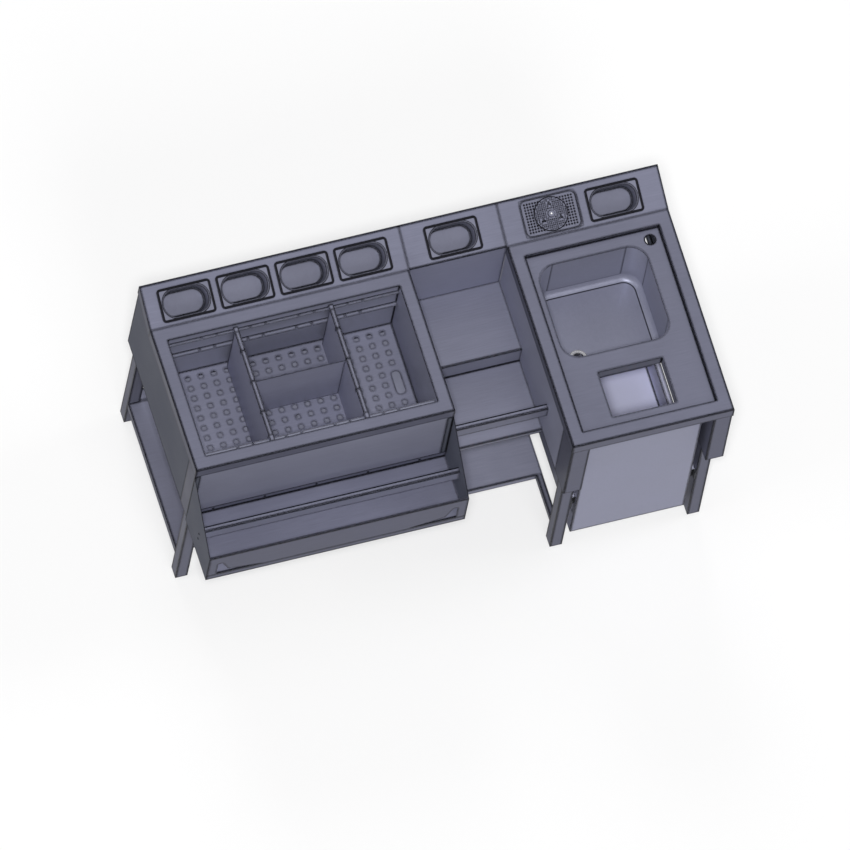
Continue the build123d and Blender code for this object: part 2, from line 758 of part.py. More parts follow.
with BuildPart() as sink_field:
    block(
        (field_x[0] - sheet, field_x[1] + sheet),
        (field_y[0] - sheet, field_y[1] + sheet),
        (under_field, under_top - seat),
    )
    block(field_x, field_y, (field_top, under_top - seat), mode=Mode.SUBTRACT)
    with BuildSketch(Plane.XY.offset(field_top)):
        with Locations((bowl_x, bowl_y)):
            RectangleRounded(bowl_length, bowl_width, bowl_corner)
        with Locations((waste_x, waste_y)):
            Rectangle(waste_length, waste_width)
        with Locations((tap_x, tap_y)):
            Circle(tap_hole / 2)
    extrude(amount=-sheet, mode=Mode.SUBTRACT)
save(sink_field, "sink_field")

# Bowl with its drain, and the collar under the waste opening
bowl_floor = under_field - bowl_depth
drain_x = sink_left + drain_from_left
drain_y = bend - drain_from_bend
with BuildPart() as sink_bowl:
    with BuildSketch(Plane.XY.offset(under_field)):
        with Locations((bowl_x, bowl_y)):
            RectangleRounded(bowl_length + 2 * sheet, bowl_width + 2 * sheet, bowl_corner + sheet)
    extrude(amount=-(bowl_depth + sheet))
    fillet(sink_bowl.faces().sort_by(Axis.Z)[0].edges(), bowl_fillet)
    offset(amount=-sheet, openings=sink_bowl.faces().sort_by(Axis.Z)[-1])
    with BuildSketch(Plane.XY.offset(bowl_floor)):
        with Locations((drain_x, drain_y)):
            Circle(drain_tail / 2 + seat)
    extrude(amount=2 * sheet, both=True, mode=Mode.SUBTRACT)
save(sink_bowl, "sink_bowl")

with BuildPart() as bowl_drain:
    with BuildSketch(Plane.XY.offset(bowl_floor + seat)):
        with Locations((drain_x, drain_y)):
            Circle(drain_flange / 2)
    extrude(amount=drain_rim)
    with BuildSketch(Plane.XY.offset(bowl_floor + seat)):
        with Locations((drain_x, drain_y)):
            Circle(drain_tail / 2)
    extrude(amount=-drain_tail_length)
    with BuildSketch(Plane.XY.offset(bowl_floor - sheet - seat)):
        with Locations((drain_x, drain_y)):
            RegularPolygon(drain_flange / 2, 6)
    extrude(amount=-drain_nut)
    with BuildSketch(Plane.XY.offset(bowl_floor)):
        with Locations((drain_x, drain_y)):
            Circle(drain_bore / 2)
    extrude(amount=2 * drain_tail_length, both=True, mode=Mode.SUBTRACT)
save(bowl_drain, "bowl_drain")

with BuildPart() as waste_chute:
    with BuildSketch(Plane.XY.offset(under_field)):
        with Locations((waste_x, waste_y)):
            Rectangle(waste_length + 2 * sheet, waste_width + 2 * sheet)
            Rectangle(waste_length, waste_width, mode=Mode.SUBTRACT)
    extrude(amount=-chute_drop)
save(waste_chute, "waste_chute")

# Sink module aprons and front corner covers
sink_inner_front = front + apron_inset
sink_cover_back = sink_inner_front + sink_cover_depth
for side, edge, sign in (("left", sink_left, 1), ("right", right, -1)):
    skin = ordered(edge, sign, apron_inset, apron_inset + sheet)
    flange = ordered(edge, sign, apron_inset, leg_inset - seat)
    save(side_apron(skin, sink_cover_back + seat, flange), f"sink_apron_{side}")
    cover_end = apron_inset + sink_cover_width
    cover_x = ordered(edge, sign, apron_inset, cover_end)
    cover_z = (apron_bottom, under_field - seat)
    inner_skin = ordered(edge, sign, cover_end - sheet, cover_end)
    with BuildPart() as cover:
        block(skin, (sink_inner_front, sink_cover_back), cover_z)
        block(inner_skin, (sink_inner_front, sink_cover_back), cover_z)
        block(cover_x, (sink_inner_front, sink_inner_front + sheet), cover_z)
        corner = cover.edges().filter_by(Axis.Z)
        outer_corner = corner.filter_by_position(Axis.Y, sink_inner_front - 0.1, sink_inner_front + 0.1)
        fillet(outer_corner, fold_radius)
    save(cover, f"sink_corner_cover_{side}")

# Sink module frame
lower_z = (shelf_height - lower_rail_height, shelf_height)
upper_rail_z = (sink_upper_rail_top - upper_rail_height, sink_upper_rail_top)
sink_leg_top = under_field - seat
sink_left_rail = (sink_leg_columns[0], sink_leg_columns[0] + rail_width)
sink_right_rail = (sink_leg_columns[1] + leg_size - rail_width, sink_leg_columns[1] + leg_size)
left_rails = [(sink_left_rail, lower_z), (sink_left_rail, upper_rail_z)]
right_rails = [(sink_right_rail, lower_z), (sink_right_rail, upper_rail_z)]
save(side_frame(sink_leg_columns[0], sink_leg_rows, sink_leg_top, left_rails), "sink_frame_left")
save(side_frame(sink_leg_columns[1], sink_leg_rows, sink_leg_top, right_rails), "sink_frame_right")

rear_rail_x = (sink_leg_columns[0] + leg_size, sink_leg_columns[1])
rear_rail_y = (sink_leg_rows[1] + leg_size - rail_width, sink_leg_rows[1] + leg_size)
with BuildPart() as sink_rear_rail:
    block(rear_rail_x, rear_rail_y, lower_z)
    block(
        rear_rail_x,
        (rear_rail_y[0] + tube_wall, rear_rail_y[1] - tube_wall),
        (lower_z[0] + tube_wall, lower_z[1] - tube_wall),
        mode=Mode.SUBTRACT,
    )
save(sink_rear_rail, "sink_rear_rail")

# One foot under every leg
plug_half = leg_size / 2 - tube_wall - seat
with BuildPart() as feet:
    for columns, rows in ((ice_leg_columns, ice_leg_rows), (sink_leg_columns, sink_leg_rows)):
        for x_low in columns:
            for y_low in rows:
                x = x_low + leg_size / 2
                y = y_low + leg_size / 2
                with Locations((x, y, foot_height / 2)):
                    Cylinder(foot_diameter / 2, foot_height)
                plug_z = (foot_height, foot_height + foot_plug)
                block((x - plug_half, x + plug_half), (y - plug_half, y + plug_half), plug_z)
save(feet, "feet")

# Glass rinser in the sink ledge: tray, grille, pressed disc and valve
with BuildPart() as rinser_tray:
    with BuildSketch(ledge_plane(rinser_x, rinser_up_slope, seat)) as tray_flange:
        Rectangle(rinser_length, rinser_width)
        diagonal = Axis((0, 0, 0), (1, 1, 0))
        fillet(tray_flange.vertices().sort_by(diagonal)[:3], rinser_corner)
        fillet(tray_flange.vertices().sort_by(diagonal)[-1], rinser_big_corner)
    extrude(amount=rinser_sheet)
    with BuildSketch(ledge_plane(rinser_x, rinser_up_slope, seat)):
        RectangleRounded(tray_length, tray_width, tray_corner)
    extrude(amount=-rinser_depth)
    with BuildSketch(ledge_plane(rinser_x, rinser_up_slope, seat + rinser_sheet)):
        RectangleRounded(tray_length - 2 * rinser_sheet, tray_width - 2 * rinser_sheet, tray_corner - rinser_sheet)
    extrude(amount=-rinser_depth, mode=Mode.SUBTRACT)
    with BuildSketch(ledge_plane(rinser_x, rinser_up_slope, seat - rinser_depth)):
        Circle(stem_diameter / 2 + stem_hole_gap)
    extrude(amount=2 * rinser_sheet, both=True, mode=Mode.SUBTRACT)
save(rinser_tray, "rinser_tray")

grille_length = tray_length - 2 * rinser_sheet - 2 * grille_gap
grille_width = tray_width - 2 * rinser_sheet - 2 * grille_gap
grille_foot_x = grille_length / 2 - tray_corner
grille_foot_y = grille_width / 2 - grille_foot / 2 - 2 * grille_gap
hub_clear = disc_hub / 2 + grille_hole
grille_points = []
for column in range(grille_columns):
    for row in range(grille_rows):
        hole_x = (column - (grille_columns - 1) / 2) * grille_pitch
        hole_y = (row - (grille_rows - 1) / 2) * grille_pitch
        if hypot(hole_x, hole_y) > hub_clear:
            grille_points.append((hole_x, hole_y))
with BuildPart() as rinser_grille:
    with BuildSketch(ledge_plane(rinser_x, rinser_up_slope, -grille_drop)):
        RectangleRounded(grille_length, grille_width, tray_corner - 2 * rinser_sheet)
        with Locations(*grille_points):
            Circle(grille_hole / 2, mode=Mode.SUBTRACT)
        Circle(disc_hub / 2, mode=Mode.SUBTRACT)
    extrude(amount=-rinser_sheet)
    with BuildSketch(ledge_plane(rinser_x, rinser_up_slope, -grille_drop - rinser_sheet)):
        with GridLocations(2 * grille_foot_x, 2 * grille_foot_y, 2, 2):
            Circle(grille_foot / 2)
    extrude(amount=-(rinser_depth - grille_drop - 2 * rinser_sheet - 2 * seat))
save(rinser_grille, "rinser_grille")

spot_angles = [pi / 2 + 2 * pi * number / disc_spots for number in range(disc_spots)]
spot_places = [(disc_spot_radius * cos(angle), disc_spot_radius * sin(angle)) for angle in spot_angles]
disc_points = []
for column in range(-disc_hole_steps, disc_hole_steps + 1):
    for row in range(-disc_hole_steps, disc_hole_steps + 1):
        hole_x = column * disc_hole_pitch
        hole_y = row * disc_hole_pitch
        clear_of_hub = hypot(hole_x, hole_y) > disc_hub / 2 + disc_hole
        clear_of_edge = hypot(hole_x, hole_y) < disc_diameter / 2 - disc_border
        spot_gap = min(hypot(hole_x - spot[0], hole_y - spot[1]) for spot in spot_places)
        if clear_of_hub and clear_of_edge and spot_gap > disc_spot_clear:
            disc_points.append((hole_x, hole_y))
with BuildPart() as rinser_disc:
    with BuildSketch(ledge_plane(rinser_x, rinser_up_slope, disc_rise)):
        Circle(disc_diameter / 2)
        with Locations(*spot_places):
            with PolarLocations(disc_jet_radius, disc_spots, start_angle=90):
                Circle(disc_jet / 2, mode=Mode.SUBTRACT)
        with Locations(*disc_points):
            Circle(disc_hole / 2, mode=Mode.SUBTRACT)
    extrude(amount=disc_sheet)
    with BuildSketch(ledge_plane(rinser_x, rinser_up_slope, disc_rise)):
        Circle(disc_hub / 2)
    extrude(amount=disc_hub_height)
    with BuildSketch(ledge_plane(rinser_x, rinser_up_slope, disc_rise)):
        Circle(stem_diameter / 2)
    extrude(amount=-stem_length)
    with BuildSketch(ledge_plane(rinser_x, rinser_up_slope, disc_rise)):
        Circle(stem_bore / 2)
    extrude(amount=2 * stem_length, both=True, mode=Mode.SUBTRACT)
save(rinser_disc, "rinser_disc")

valve_top = -rinser_depth
with BuildPart() as rinser_valve:
    with BuildSketch(ledge_plane(rinser_x, rinser_up_slope, valve_top)):
        Circle(valve_diameter / 2)
    extrude(amount=-valve_length)
    with BuildSketch(ledge_plane(rinser_x, rinser_up_slope, valve_top)):
        Circle(stem_diameter / 2 + stem_gap)
    extrude(amount=-(valve_length - 2 * sheet), mode=Mode.SUBTRACT)
    with BuildSketch(ledge_plane(rinser_x, rinser_up_slope, valve_top - valve_length)):
        Circle(inlet_diameter / 2)
    extrude(amount=-inlet_length)
save(rinser_valve, "rinser_valve")

# Waste drawer: tall folded front, open box and three-part runners
runner_left = sink_leg_columns[0] + leg_size
runner_right = sink_leg_columns[1]
drawer_x = (runner_left + runner_bar + runner_space, runner_right - runner_bar - runner_space)
drawer_front_y = (sink_leg_rows[0], sink_leg_rows[0] + drawer_front_depth)
drawer_front_z = (drawer_front_bottom, top - lip_drop - drawer_lip_gap)
with BuildPart() as drawer_front:
    block(drawer_x, drawer_front_y, drawer_front_z)
    block(
        (drawer_x[0] + sheet, drawer_x[1] - sheet),
        (drawer_front_y[0] + sheet, drawer_front_y[1]),
        (drawer_front_z[0] + sheet, drawer_front_z[1] - sheet),
        mode=Mode.SUBTRACT,
    )
    fold_y = (drawer_front_y[0], drawer_front_y[0] + drawer_fold)
    lower_fold_z = (drawer_front_z[0], drawer_bottom - seat)
    upper_fold_z = (drawer_bottom + drawer_height + seat, drawer_front_z[1])
    for fold_z in (lower_fold_z, upper_fold_z):
        block((drawer_x[0], drawer_x[0] + sheet), fold_y, fold_z)
        block((drawer_x[1] - sheet, drawer_x[1]), fold_y, fold_z)
    fillet(drawer_front.faces().sort_by(Axis.Y)[0].edges(), edge_radius)
save(drawer_front, "drawer_front")

box_y = (drawer_front_y[1] + seat, drawer_front_y[1] + seat + drawer_depth)
box_z = (drawer_bottom, drawer_bottom + drawer_height)
with BuildPart() as drawer_box:
    block(drawer_x, box_y, box_z)
    flange_x = (drawer_x[0] - drawer_flange, drawer_x[1] + drawer_flange)
    block(flange_x, box_y, (box_z[1] - sheet, box_z[1]))
    block(
        (drawer_x[0] + sheet, drawer_x[1] - sheet),
        (box_y[0] + sheet, box_y[1] - sheet),
        (box_z[0] + sheet, box_z[1]),
        mode=Mode.SUBTRACT,
    )
save(drawer_box, "drawer_box")

runner_y = box_y
bar_y = (sink_leg_rows[0], sink_leg_rows[1] + leg_size)
half_outer = runner_section / 2
half_middle = half_outer - runner_sheet - runner_play
half_inner = half_middle - runner_sheet - runner_ball_gap
for side, start, sign in (("left", runner_left, 1), ("right", runner_right, -1)):
    with BuildPart() as runner_outer:
        bar_half = runner_bar_height / 2
        block(ordered(start, sign, 0.0, runner_bar), bar_y, (runner_height - bar_half, runner_height + bar_half))
        web = ordered(start, sign, runner_bar, runner_bar + runner_sheet)
        block(web, runner_y, (runner_height - half_outer, runner_height + half_outer))
        lips = ordered(start, sign, runner_bar, runner_bar + runner_lip)
        block(lips, runner_y, (runner_height + half_outer - runner_sheet, runner_height + half_outer))
        block(lips, runner_y, (runner_height - half_outer, runner_height - half_outer + runner_sheet))
    save(runner_outer, f"runner_outer_{side}")

    middle_web = runner_bar + runner_sheet + runner_play
    with BuildPart() as runner_middle:
        web = ordered(start, sign, middle_web, middle_web + runner_sheet)
        block(web, runner_y, (runner_height - half_middle, runner_height + half_middle))
        lips = ordered(start, sign, middle_web, runner_bar + runner_lip)
        block(lips, runner_y, (runner_height + half_middle - runner_sheet, runner_height + half_middle))
        block(lips, runner_y, (runner_height - half_middle, runner_height - half_middle + runner_sheet))
    save(runner_middle, f"runner_middle_{side}")

    inner_face = runner_bar + runner_space
    with BuildPart() as runner_inner:
        web = ordered(start, sign, inner_face - runner_sheet, inner_face)
        block(web, runner_y, (runner_height - half_inner, runner_height + half_inner))
        lips = ordered(start, sign, middle_web + runner_sheet + runner_play, inner_face)
        block(lips, runner_y, (runner_height + half_inner - runner_sheet, runner_height + half_inner))
        block(lips, runner_y, (runner_height - half_inner, runner_height - half_inner + runner_sheet))
    save(runner_inner, f"runner_inner_{side}")
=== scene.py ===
import json
import math

import bmesh
import bpy
import numpy as np
from mathutils import Matrix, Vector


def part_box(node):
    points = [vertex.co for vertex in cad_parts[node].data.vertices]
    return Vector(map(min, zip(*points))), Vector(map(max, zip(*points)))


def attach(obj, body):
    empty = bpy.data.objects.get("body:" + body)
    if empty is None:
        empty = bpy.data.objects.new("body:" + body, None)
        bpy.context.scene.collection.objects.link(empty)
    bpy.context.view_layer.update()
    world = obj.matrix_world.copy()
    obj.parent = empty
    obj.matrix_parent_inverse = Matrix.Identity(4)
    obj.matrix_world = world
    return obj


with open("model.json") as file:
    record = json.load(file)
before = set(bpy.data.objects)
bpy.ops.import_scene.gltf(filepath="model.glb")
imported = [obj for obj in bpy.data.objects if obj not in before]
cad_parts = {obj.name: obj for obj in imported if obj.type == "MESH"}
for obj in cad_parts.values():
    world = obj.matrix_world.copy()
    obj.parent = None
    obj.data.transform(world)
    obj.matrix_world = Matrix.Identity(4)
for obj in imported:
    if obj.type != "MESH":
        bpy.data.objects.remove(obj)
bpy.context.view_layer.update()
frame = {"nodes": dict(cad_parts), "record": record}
nodes = frame["nodes"]
scene = bpy.context.scene
print("station loaded:", len(nodes), "CAD nodes")

viewSet = {
    "right": (0.95252, -0.28954, 0.09420),    # picture axes in the station's own frame
    "down": (-0.22478, -0.87736, -0.42393),
    "forward": (0.20540, 0.38261, -0.90079),
    "centre": (0.04538, -0.13042),            # picture centre along right and down, metres
    "distance": 4.0,
    "width": 2.654,                           # metres across the picture, parallel view
    "farthest": 40.0,
}


def aimCamera(s):
    # centre = a*right + b*down, and the camera stands back from it along forward
    right, down, ahead = (np.array(s[key]) for key in ("right", "down", "forward"))
    place = s["centre"][0] * right + s["centre"][1] * down - s["distance"] * ahead
    turn = np.eye(4)
    turn[:3, 0], turn[:3, 1], turn[:3, 2], turn[:3, 3] = right, -down, -ahead, place
    data = bpy.data.cameras.new("stationCamera")
    data.type = "ORTHO"
    data.ortho_scale = s["width"]
    data.clip_end = s["farthest"]
    camera = bpy.data.objects.new("stationCamera", data)
    camera.matrix_world = Matrix(turn.tolist())
    scene.collection.objects.link(camera)
    scene.camera = camera


aimCamera(viewSet)


def addNode(tree, kind, **settings):
    # one shader node; a key that names a socket sets that socket, any other sets the node itself
    node = tree.nodes.new(kind)
    for key, value in settings.items():
        if key in node.inputs:
            node.inputs[key].default_value = value
        else:
            setattr(node, key, value)
    return node


def eitherRay(tree):
    # 1 for what the camera, a gloss or a see-through ray meets, 0 for the light that falls on things
    path = addNode(tree, "ShaderNodeLightPath")
    first = addNode(tree, "ShaderNodeMath", operation="MAXIMUM")
    second = addNode(tree, "ShaderNodeMath", operation="MAXIMUM")
    tree.links.new(path.outputs["Is Camera Ray"], first.inputs[0])
    tree.links.new(path.outputs["Is Glossy Ray"], first.inputs[1])
    tree.links.new(first.outputs[0], second.inputs[0])
    tree.links.new(path.outputs["Is Transmission Ray"], second.inputs[1])
    return second.outputs[0]


white = (1, 1, 1, 1)
lightSet = {
    "suns": {                                 # strength, softness in degrees, compass, height
        "viewerSun": (2.00, 5, -28.2, 64.2),
        "frontFill": (0.68, 24, 0, 38),
        "leftFill": (0.36, 24, -90, 38),
        "rightFill": (0.42, 24, 90, 38),
        "backFill": (0.52, 24, 180, 38),
    },
    "skyLight": 0.15, "skySeen": 1.0,
}


def hangSun(name, strength, softness, compass, height):
    # the sun stands at (sin c cos h, -cos c cos h, sin h), c from the front round to the right
    c, h = math.radians(compass), math.radians(height)
    toSun = np.array((math.sin(c) * math.cos(h), -math.cos(c) * math.cos(h), math.sin(h)))
    side = np.cross((0, 0, 1), toSun)
    side /= np.linalg.norm(side)
    turn = np.eye(4)
    turn[:3, 0], turn[:3, 1], turn[:3, 2] = side, np.cross(toSun, side), toSun
    sun = bpy.data.lights.new(name, "SUN")
    sun.energy = strength
    sun.angle = math.radians(softness)
    lamp = bpy.data.objects.new(name, sun)
    lamp.matrix_world = Matrix(turn.tolist())
    scene.collection.objects.link(lamp)


def lightRoom(s):
    # a sun from the viewer's side, softer ones round the room, and an even sky that the camera
    # and gloss see as white
    for name, settings in s["suns"].items():
        hangSun(name, *settings)
    world = bpy.data.worlds.new("evenRoom")
    scene.world = world
    world.use_nodes = True
    tree = world.node_tree
    tree.nodes.clear()
    out = addNode(tree, "ShaderNodeOutputWorld")
    sky = addNode(tree, "ShaderNodeBackground", Color=white, Strength=s["skyLight"])
    seen = addNode(tree, "ShaderNodeBackground", Color=white, Strength=s["skySeen"])
    mix = addNode(tree, "ShaderNodeMixShader")
    tree.links.new(eitherRay(tree), mix.inputs[0])
    tree.links.new(sky.outputs[0], mix.inputs[1])
    tree.links.new(seen.outputs[0], mix.inputs[2])
    tree.links.new(mix.outputs[0], out.inputs["Surface"])


lightRoom(lightSet)
scene.view_settings.view_transform = "Standard"

mergeDistance = 1e-7                          # metres, joins the poles of turned shapes


def quadMesh(name, points, quads, closed=True, smooth=True):
    # arrays straight into a mesh; a closed shape with a negative volume is turned right side out
    if closed:
        a, b, c, d = (points[quads[:, k]] for k in range(4))
        volume = np.einsum("ij,ij->", a, np.cross(b, c) + np.cross(c, d))
        quads = quads if volume > 0 else quads[:, ::-1]
    mesh = bpy.data.meshes.new(name)
    mesh.vertices.add(len(points))
    mesh.vertices.foreach_set("co", np.ascontiguousarray(points, np.float32).ravel())
    mesh.loops.add(quads.size)
    mesh.loops.foreach_set("vertex_index", np.ascontiguousarray(quads, np.int32).ravel())
    mesh.polygons.add(len(quads))
    mesh.polygons.foreach_set("loop_start", np.arange(0, quads.size, 4, dtype=np.int32))
    mesh.update(calc_edges=True)
    shape = bmesh.new()
    shape.from_mesh(mesh)
    bmesh.ops.remove_doubles(shape, verts=shape.verts, dist=mergeDistance)
    shape.to_mesh(mesh)
    shape.free()
    mesh.polygons.foreach_set("use_smooth", np.full(len(mesh.polygons), smooth))
    piece = bpy.data.objects.new(name, mesh)
    scene.collection.objects.link(piece)
    return piece


def gridQuads(nu, nv, closeU, closeV):
    # the four corners of each cell of a grid, wrapping where it is closed
    cellsU, cellsV = (nu if closeU else nu - 1), (nv if closeV else nv - 1)
    a, b = np.meshgrid(np.arange(cellsU), np.arange(cellsV), indexing="ij")
    a2, b2 = (a + 1) % nu, (b + 1) % nv
    return np.stack([a * nv + b, a2 * nv + b, a2 * nv + b2, a * nv + b2], -1).reshape(-1, 4)


floorSet = {
    "reach": 30.0, "lines": 3,
    "thrown": (0.25, 0.25, 0.25, 1), "seen": (0.92, 0.92, 0.92, 1), "whiteShare": 0.5,
}


def layFloor(s):
    # a flat grid at z = 0; seen directly it is part white light and part chalk, which takes the
    # shadow, and it throws back only a little light under the station
    count = s["lines"]
    line = np.linspace(-s["reach"], s["reach"], count)
    level = np.zeros((count, count))
    points = np.stack([*np.meshgrid(line, line, indexing="ij"), level], -1).reshape(-1, 3)
    quads = gridQuads(count, count, False, False)
    floor = quadMesh("paleFloor", points, quads, closed=False, smooth=False)
    paint = bpy.data.materials.new("paleFloorPaint")
    paint.use_nodes = True
    tree = paint.node_tree
    tree.nodes.clear()
    out = addNode(tree, "ShaderNodeOutputMaterial")
    dim = addNode(tree, "ShaderNodeBsdfDiffuse", Color=s["thrown"])
    chalk = addNode(tree, "ShaderNodeBsdfDiffuse", Color=s["seen"])
    glow = addNode(tree, "ShaderNodeEmission", Color=white, Strength=1.0)
    pale = addNode(tree, "ShaderNodeMixShader", Fac=s["whiteShare"])
    tree.links.new(chalk.outputs[0], pale.inputs[1])
    tree.links.new(glow.outputs[0], pale.inputs[2])
    mix = addNode(tree, "ShaderNodeMixShader")
    tree.links.new(eitherRay(tree), mix.inputs[0])
    tree.links.new(dim.outputs[0], mix.inputs[1])
    tree.links.new(pale.outputs[0], mix.inputs[2])
    tree.links.new(mix.outputs[0], out.inputs["Surface"])
    floor.data.materials.append(paint)


layFloor(floorSet)
print("camera, light and floor set")

ledgeSet = {"bend": (0.290, 0.850), "depth": 0.135, "rise": 0.050}


def ledgeAxes(s):
    # the ledge's own axes: along the station, up the slope, and out of it
    run = math.hypot(s["depth"], s["rise"])
    up = np.array((0, s["depth"] / run, s["rise"] / run))
    out = np.array((0, -s["rise"] / run, s["depth"] / run))
    return np.array((1.0, 0, 0)), up, out


alongLedge, upLedge, outLedge = ledgeAxes(ledgeSet)


def ledgePoint(x, up, above):
    # bend line + x along it + up the slope + above the sheet
    bend = np.array((0, *ledgeSet["bend"]))
    return bend + x * alongLedge + up * upLedge + above * outLedge


rise, rearward, forward = (0, 0, 1), (0, 1, 0), (0, -1, 0)
ledgeLevel = float(ledgePoint(0, 0, 0) @ outLedge)


def stepAt(axis, low, high, atLow, atHigh):
    # metres along an axis between which a factor on the tone goes from atLow to atHigh: painted light
    # where it is above 1, painted shade where it is below
    return {"axis": axis, "low": low, "high": high, "atLow": atLow, "atHigh": atHigh}


barLine = {"from": 0.0042, "full": 0.0030, "shade": 0.04}


def rearLine(name, s):
    # a dark line up to the rear edge of a bar's top flange, measured back from that edge
    rear = max(corner[1] for corner in nodes[name].bound_box)
    return stepAt(rearward, rear - s["from"], rear - s["full"], 1.0, s["shade"])


def facingFactor(axis, factor):
    # a factor on the faces that look along an axis, and 1 on those that look across it: painted light
    # where the factor is above 1, painted shade where it is below
    return {"axis": axis, "stops": ((0.50, 1), (0.95, factor))}


# stops are pairs of normal . axis and the factor there: the low ones are a pressed radius's
# start and end, as thin dark lines; the bowl's 1.16, on faces that look across its axis, is
# painted light on its walls
panPress = {"axis": outLedge, "stops": (
    (0.06, 1), (0.10, 0.06), (0.30, 0.06), (0.34, 1),
    (0.90, 1), (0.93, 0.06), (0.985, 0.06), (0.994, 1))}
bowlLinesAndLight = {"axis": rise, "stops": (
    (0.30, 1.16), (0.98, 1), (0.985, 0.15), (0.9965, 0.15), (0.9985, 1))}
bowlCorners = ((0.9950, 1), (0.9962, 0.15), (0.9990, 0.15), (0.9996, 1))

sheetLook = dict(metal=0.28, rough=0.40, edge=0.97, edgeWidth=0.0095)
# brushing per metre on flat faces and on end faces
alongX = dict(sheetLook, flat=(14, 1500, 1500), side=(1500, 14, 1500))
alongZ = dict(sheetLook, flat=(1500, 1500, 14), side=(1500, 1500, 14))
allRound = dict(sheetLook, flat=(900, 900, 900), side=(900, 900, 900))

outerTone, railTone = (0.150, 0.154, 0.208), (0.155, 0.159, 0.214)
# the well tone is the outer steel's about 1.5 times lighter: painted light in the wells, the bowl and
# the tank, where the lamps reach less
wellLitTone, rinserTone = (0.232, 0.238, 0.308), (0.150, 0.154, 0.205)

# tone, and what differs from a plain sheet: ends is a factor of painted light and shade on end
# faces, step one along an axis, facing one by the way a face looks (painted light and shade, and
# thin dark press lines on the pans and bowl), corners dark lines where a wall starts to turn
steelSet = {
    "topSteel": dict(alongX, tone=outerTone, ends=0.70),
    # painted light: at 0.846 m and lower, below the ledge's bend, the bay ledge's wall is 1.72 times
    # lighter
    "wallSteelLitBelow": dict(alongX, tone=outerTone, ends=0.70, step=stepAt(rise, 0.846, 0.849, 1.72, 1.0)),
    # painted shade: the side panels get a darker copy of the outer steel, with less metal and more
    # roughness so it shows less of the white room, on faces that look sideways
    "sideSteelShaded": dict(alongX, tone=(0.116, 0.124, 0.158), metal=0.05, rough=0.62),
    "wellSteelLit": dict(allRound, tone=wellLitTone, ends=1.25, rough=0.34, edgeWidth=0.0085),
    "bowlSteelLit": dict(allRound, tone=wellLitTone, ends=1.28, rough=0.36, edgeWidth=0.0085,
                      facing=bowlLinesAndLight, corners=bowlCorners),
    "tankSteelLit": dict(allRound, tone=wellLitTone, ends=1.25, rough=0.34, edgeWidth=0.0085,
                      facing=facingFactor(rise, 1.55)),     # painted light: faces that look up are 1.55 times lighter, so its bottom, which shows only through holes, reads lit
    "panSteel": dict(allRound, tone=(0.162, 0.166, 0.218), rough=0.34, edge=0.96, edgeWidth=0.0080,
                     facing=panPress),
    "beadShade": dict(allRound, tone=(0.010, 0.010, 0.013), metal=0.20, edge=0.30, edgeWidth=0.0006),
    # painted light: the inserts are about 1.9 times the outer steel's tone, with painted shade (0.68)
    # on their faces that look up
    "insertSteelLit": dict(alongX, tone=(0.284, 0.290, 0.384), ends=1.14, edgeWidth=0.0085,
                        facing=facingFactor(rise, 0.68)),
    # painted light: lighter copies of the outer steel, from about 1.2 to 2 times its tone, for the
    # false floor, inner sheets, shelves and aprons that the lamps reach less
    "floorSteelLit": dict(alongX, tone=(0.244, 0.249, 0.328), edge=0.98),
    "innerSteelLit": dict(alongX, tone=(0.212, 0.217, 0.284), rough=0.42),
    "shelfSteelLit": dict(alongX, tone=(0.258, 0.264, 0.346), rough=0.42),
    "baseSteelLit": dict(alongX, tone=(0.178, 0.183, 0.247), ends=0.70),
    "apronSteelLit": dict(alongX, tone=(0.295, 0.302, 0.390), ends=1.13, rough=0.42),
    "frameSteel": dict(alongZ, tone=(0.158, 0.162, 0.216), ends=0.90, metal=0.16, rough=0.43),
    "railSteel": dict(alongX, tone=railTone, ends=0.70),
    # painted light: the tray is 1.25 times lighter behind its front lip, and the lip 0.93 times darker
    "traySteelLit": dict(alongX, tone=railTone, ends=0.70,
                      step=stepAt(rearward, -0.4235, -0.4215, 0.93, 1.25)),
    # painted light on the bars: tones about 1.4 times the rail steel's and the speed rail bar's front
    # faces 1.49 times lighter; the bay bar's front faces get painted shade, 0.85
    "speedBarSteelLit": dict(alongX, tone=(0.217, 0.223, 0.300), edge=0.98, edgeWidth=0.0110,
                          facing=facingFactor(forward, 1.49),
                          step=rearLine("speed_rail_bar", barLine)),
    "bayBarSteelLit": dict(alongX, tone=(0.225, 0.231, 0.308), edge=0.98, edgeWidth=0.0110,
                        facing=facingFactor(forward, 0.85), step=rearLine("bay_bar", barLine)),
    "rinserSteel": dict(allRound, tone=rinserTone, metal=0.40, rough=0.34, edgeWidth=0.0028),
    # painted shade: the rinser tray falls to 0.08 of its tone below the ledge's level, in the well
    # under the grille
    "rinserWellShaded": dict(allRound, tone=rinserTone, rough=0.45, edge=0.90, edgeWidth=0.0080,
                       step=stepAt(outLedge, ledgeLevel - 0.004, ledgeLevel - 0.001, 0.08, 1.0)),
    "runnerZinc": dict(alongX, tone=(0.095, 0.098, 0.108), metal=0.40, rough=0.42,
                       edge=0.80, edgeWidth=0.0040),
    "drainChrome": dict(allRound, tone=(0.42, 0.42, 0.45), metal=0.85, rough=0.20,
                        edge=0.80, edgeWidth=0.0040),
    "nozzleBright": dict(allRound, tone=(0.80, 0.80, 0.82), metal=0.80, rough=0.14,
                         edge=0.30, edgeWidth=0.0006),
    "valveBrass": dict(allRound, tone=(0.42, 0.28, 0.09), metal=0.90, rough=0.32,
                       edge=0.50, edgeWidth=0.0016),
}
noiseMiddle = (0.3, 0.7)                      # the part of a noise that patterns are spread over
lineSet = {"samples": 6, "dark": 0.984, "clear": 0.997}


